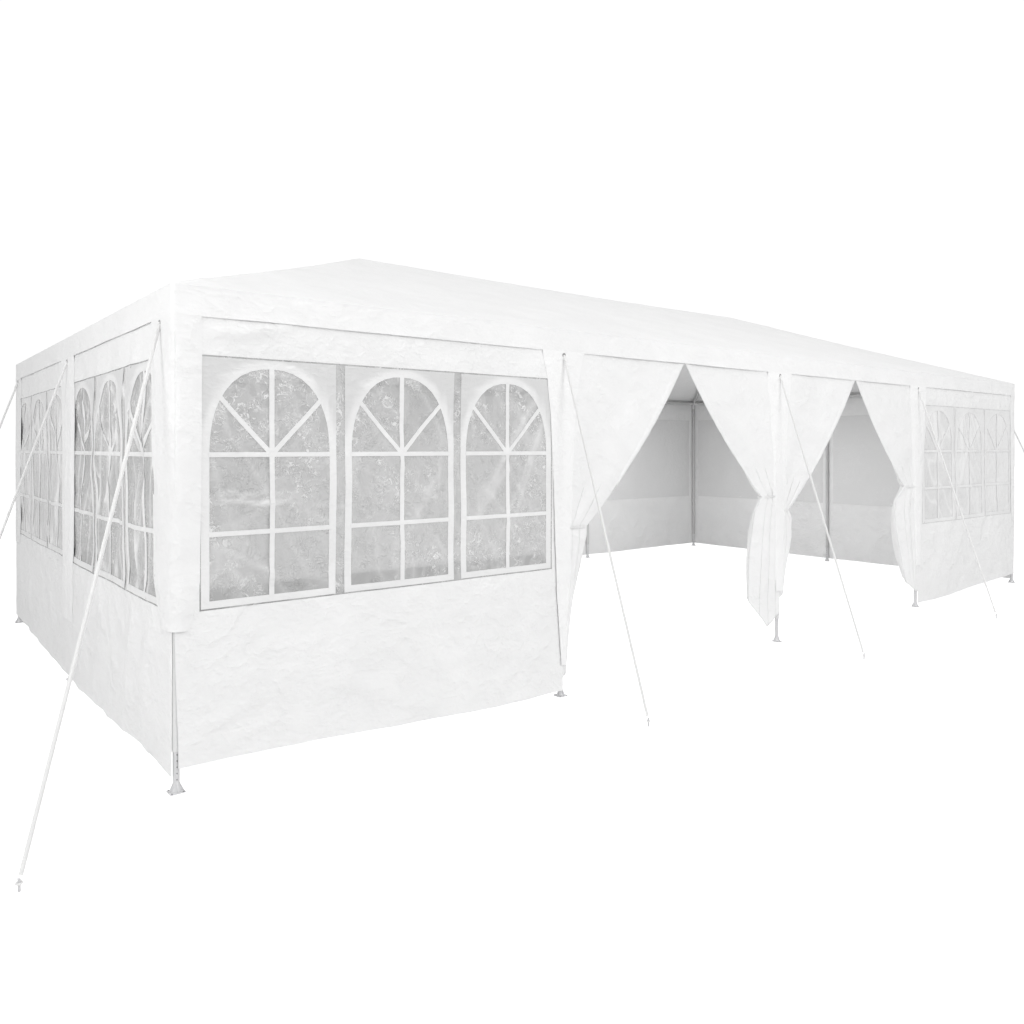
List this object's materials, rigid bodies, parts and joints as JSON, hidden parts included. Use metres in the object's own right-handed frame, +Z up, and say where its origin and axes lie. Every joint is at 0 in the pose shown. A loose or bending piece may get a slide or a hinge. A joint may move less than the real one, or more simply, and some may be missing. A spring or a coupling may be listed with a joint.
{
  "type": "marquee tent",
  "caption": "Long hip-roofed party tent on a tube frame with arched window walls, two tied-back doorways and guy ropes.",
  "frame": {"origin": "on the ground at the middle of the tent, the bottom centre of its box", "axes": "+X along the long side from the left end to the right end, -Y out through the two doors, +Z up"},
  "size_m": [9.2168, 5.2168, 2.6799],
  "materials": {
    "white_tube": "white powder coat on thin steel tube",
    "white_sheeting": "woven polyethylene sheet with a soft shine",
    "clear_film": "clear crinkled plastic film",
    "white_rope": "white laid cord"
  },
  "bodies": {
    "root": {"post_front_1": "white_tube", "post_front_2": "white_tube", "post_front_3": "white_tube", "post_front_4": "white_tube", "post_front_5": "white_tube", "post_back_1": "white_tube", "post_back_2": "white_tube", "post_back_3": "white_tube", "post_back_4": "white_tube", "post_back_5": "white_tube", "post_left_middle": "white_tube", "post_right_middle": "white_tube", "eave_rail_front": "white_tube", "eave_rail_back": "white_tube", "eave_rail_left": "white_tube", "eave_rail_right": "white_tube", "ridge_pole": "white_tube", "rafter_front_1": "white_tube", "rafter_front_2": "white_tube", "rafter_front_3": "white_tube", "rafter_back_1": "white_tube", "rafter_back_2": "white_tube", "rafter_back_3": "white_tube", "rafter_left_end": "white_tube", "rafter_right_end": "white_tube", "hip_rafter_front_left": "white_tube", "hip_rafter_front_right": "white_tube", "hip_rafter_back_left": "white_tube", "hip_rafter_back_right": "white_tube", "roof_cover_front": "white_sheeting", "roof_cover_right": "white_sheeting", "roof_cover_back": "white_sheeting", "roof_cover_left": "white_sheeting", "wall_front_left": "white_sheeting", "wall_front_right": "white_sheeting", "wall_right_end": "white_sheeting", "wall_back_right": "white_sheeting", "wall_back_left": "white_sheeting", "wall_left_end": "white_sheeting", "window_film_front_left": "clear_film", "window_film_front_right": "clear_film", "window_film_right_end": "clear_film", "window_film_back": "clear_film", "window_film_left_end": "clear_film", "door_curtain_1_left": "white_sheeting", "door_curtain_1_right": "white_sheeting", "door_curtain_2_left": "white_sheeting", "door_curtain_2_right": "white_sheeting", "guy_rope_front_1": "white_rope", "guy_rope_front_2": "white_rope", "guy_rope_front_3": "white_rope", "guy_rope_front_4": "white_rope", "guy_rope_front_5": "white_rope", "guy_rope_back_1": "white_rope", "guy_rope_back_2": "white_rope", "guy_rope_back_3": "white_rope", "guy_rope_back_4": "white_rope", "guy_rope_back_5": "white_rope", "guy_rope_left_middle": "white_rope", "guy_rope_right_middle": "white_rope"}
  },
  "joints": []
}
